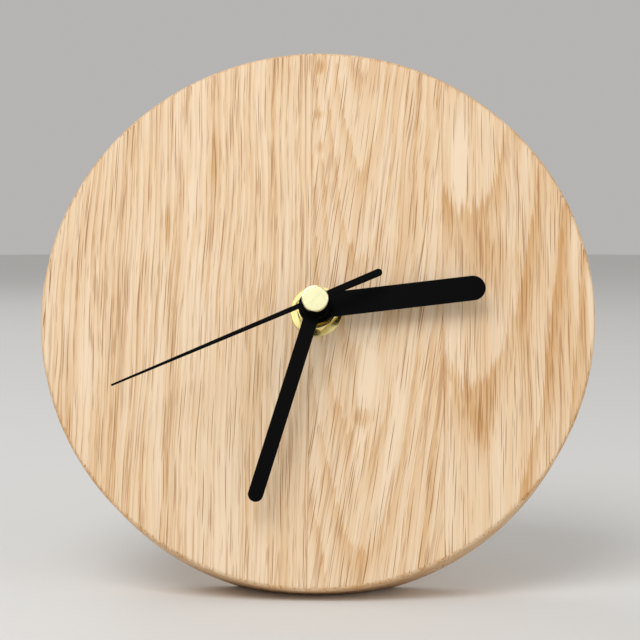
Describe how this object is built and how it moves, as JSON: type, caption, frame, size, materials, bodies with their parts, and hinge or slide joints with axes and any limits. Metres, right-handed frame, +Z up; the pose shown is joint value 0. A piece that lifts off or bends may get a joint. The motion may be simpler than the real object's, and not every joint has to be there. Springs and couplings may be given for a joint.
{
  "type": "desk clock",
  "caption": "Round oak desk clock leaning back on a sawn base flat and a dowel leg, with black hands, brass nut and cap, and a quartz movement with its gear train in the back.",
  "frame": {"origin": "on the table, at the middle of the depth of the flat that the disc stands on, under the middle of the disc", "axes": "+Z up, the dial faces -Y and leans back, +X to the right of someone reading the dial"},
  "size_m": [0.15, 0.0807, 0.1454],
  "materials": {
    "oak": "satin oil",
    "brass": "turned, bright",
    "rubber": "matte",
    "black_paint": "satin black",
    "white_plastic": "moulded",
    "black_plastic": "moulded, fine texture",
    "steel": "plain",
    "magnet": "dull",
    "copper": "enamelled wire",
    "board": "lacquered",
    "resin": "gloss",
    "nickel": "nickel plated",
    "cell_sleeve": "gloss sleeve"
  },
  "bodies": {
    "stand": {"oak_board_left": "oak", "oak_board_middle": "oak", "oak_board_right": "oak", "prop_leg": "oak", "threaded_bush": "brass", "washer": "brass", "hex_nut": "brass", "gasket": "rubber", "stator": "steel", "coil_core": "steel", "coil_bobbin": "white_plastic", "coil_winding": "copper", "front_case": "black_plastic", "rear_cover": "black_plastic", "middle_plate": "white_plastic", "circuit_board": "board", "control_chip": "resin", "quartz_crystal": "nickel", "battery": "cell_sleeve", "positive_contact": "nickel", "negative_contact": "nickel"},
    "second_group": {"second_wheel": "white_plastic", "second_arbor": "steel", "second_hand_boss": "brass", "second_hand": "black_paint"},
    "intermediate_group": {"intermediate_wheel": "white_plastic"},
    "rotor_group": {"rotor": "white_plastic", "rotor_magnet": "magnet"},
    "third_group": {"third_wheel": "white_plastic"},
    "centre_group": {"centre_wheel": "white_plastic"},
    "minute_group": {"minute_arbor": "white_plastic", "minute_hand": "black_paint"},
    "motion_group": {"motion_wheel": "white_plastic", "setting_knob": "black_plastic"},
    "hour_group": {"hour_wheel": "white_plastic", "hour_hand": "black_paint"}
  },
  "joints": [
    {"name": "second_spin", "type": "hinge", "parent": "stand", "child": "second_group", "pos_m": [0, 0.01906, 0.07096], "axis": [0, 0.9511, -0.309], "continuous": true},
    {"name": "intermediate_spin", "type": "hinge", "parent": "stand", "child": "intermediate_group", "pos_m": [-0.00107, 0.02174, 0.07922], "axis": [0, 0.9511, -0.309], "continuous": true},
    {"name": "rotor_spin", "type": "hinge", "parent": "stand", "child": "rotor_group", "pos_m": [0.00279, 0.02345, 0.08445], "axis": [0, 0.9511, -0.309], "continuous": true},
    {"name": "third_spin", "type": "hinge", "parent": "stand", "child": "third_group", "pos_m": [-0.00799, 0.01996, 0.07372], "axis": [0, 0.9511, -0.309], "continuous": true},
    {"name": "centre_wheel_spin", "type": "hinge", "parent": "stand", "child": "centre_group", "pos_m": [0, 0.01906, 0.07096], "axis": [0, 0.9511, -0.309], "continuous": true},
    {"name": "minute_spin", "type": "hinge", "parent": "stand", "child": "minute_group", "pos_m": [0, 0.01906, 0.07096], "axis": [0, 0.9511, -0.309], "continuous": true},
    {"name": "motion_spin", "type": "hinge", "parent": "stand", "child": "motion_group", "pos_m": [0.00846, 0.02001, 0.07389], "axis": [0, 0.9511, -0.309], "continuous": true},
    {"name": "hour_spin", "type": "hinge", "parent": "stand", "child": "hour_group", "pos_m": [0, 0.01906, 0.07096], "axis": [0, 0.9511, -0.309], "continuous": true}
  ],
  "couplings": [
    {"joint": "intermediate_spin", "follows": "second_spin", "ratio": -6},
    {"joint": "rotor_spin", "follows": "second_spin", "ratio": 30},
    {"joint": "third_spin", "follows": "second_spin", "ratio": -0.13333},
    {"joint": "centre_wheel_spin", "follows": "second_spin", "ratio": 0.016667},
    {"joint": "motion_spin", "follows": "minute_spin", "ratio": -0.33333},
    {"joint": "hour_spin", "follows": "minute_spin", "ratio": 0.083333}
  ]
}
